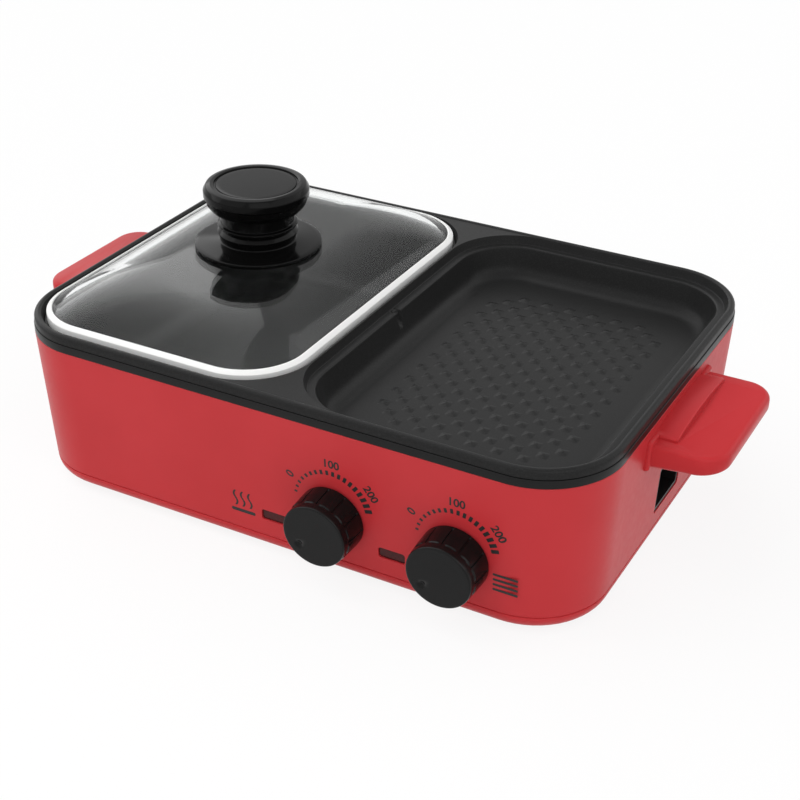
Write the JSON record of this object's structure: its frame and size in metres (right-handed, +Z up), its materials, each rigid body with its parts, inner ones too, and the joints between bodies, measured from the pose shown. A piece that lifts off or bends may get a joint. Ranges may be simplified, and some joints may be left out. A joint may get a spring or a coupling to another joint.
{
  "type": "electric hot pot",
  "caption": "Countertop electric cooker with a glass-lidded hot-pot well beside a studded grill well, two front dial knobs, side handles and a side power inlet.",
  "frame": {"origin": "middle of the part's box at table level, under the feet", "axes": "+X to the right along the front, +Y to the back, +Z up"},
  "size_m": [0.4122, 0.2584, 0.1498],
  "materials": {
    "red_plastic": "satin red moulded plastic",
    "black_plastic": "satin black moulded plastic",
    "nonstick_plate": "cast aluminium with a fine-grained black non-stick coat",
    "clear_glass": "clear tempered glass",
    "white_rim": "smooth white silicone",
    "red_lens": "dark translucent red plastic",
    "cream_plastic": "heat-resistant moulded plastic",
    "screw_steel": "zinc-plated steel",
    "tube_steel": "sheathed heating tube",
    "sheet_steel": "bright sheet steel",
    "pin_brass": "plated brass",
    "foot_rubber": "matt black rubber",
    "wire_sleeve": "glass-fibre sleeved wire"
  },
  "bodies": {
    "pot_base": {"body_shell": "red_plastic", "base_cover": "red_plastic", "feet": "foot_rubber", "rim_skirt": "black_plastic", "cooking_plate": "nonstick_plate", "handle_left": "red_plastic", "handle_right": "red_plastic", "handle_screws": "screw_steel", "pot_thermostat": "cream_plastic", "grill_thermostat": "cream_plastic", "thermostat_nuts": "screw_steel", "pot_lens": "red_lens", "grill_lens": "red_lens", "indicator_lamps": "cream_plastic", "inlet_housing": "black_plastic", "inlet_pins": "pin_brass", "pot_element": "tube_steel", "grill_element": "tube_steel", "element_clamps": "tube_steel", "limiters": "cream_plastic", "pot_shield": "sheet_steel", "grill_shield": "sheet_steel", "tie_screws": "screw_steel", "terminal_block": "cream_plastic", "wiring": "wire_sleeve"},
    "lid": {"lid_rim": "white_rim", "lid_glass": "clear_glass", "lid_knob_flange": "black_plastic", "lid_knob": "black_plastic", "lid_knob_screw": "screw_steel"},
    "pot_dial": {"pot_knob": "black_plastic", "pot_shaft": "screw_steel"},
    "grill_dial": {"grill_knob": "black_plastic", "grill_shaft": "screw_steel"}
  },
  "joints": [
    {"name": "lid_lift", "type": "slide", "parent": "pot_base", "child": "lid", "axis": [0, 0, 1], "range_m": [0, 0.12]},
    {"name": "pot_knob_turn", "type": "hinge", "parent": "pot_base", "child": "pot_dial", "pos_m": [0.034, -0.10964, 0.0375], "axis": [0, 0.9988, 0.0489], "range_deg": [0, 204]},
    {"name": "grill_knob_turn", "type": "hinge", "parent": "pot_base", "child": "grill_dial", "pos_m": [0.1029, -0.10964, 0.0375], "axis": [0, 0.9988, 0.0489], "range_deg": [0, 204]}
  ]
}
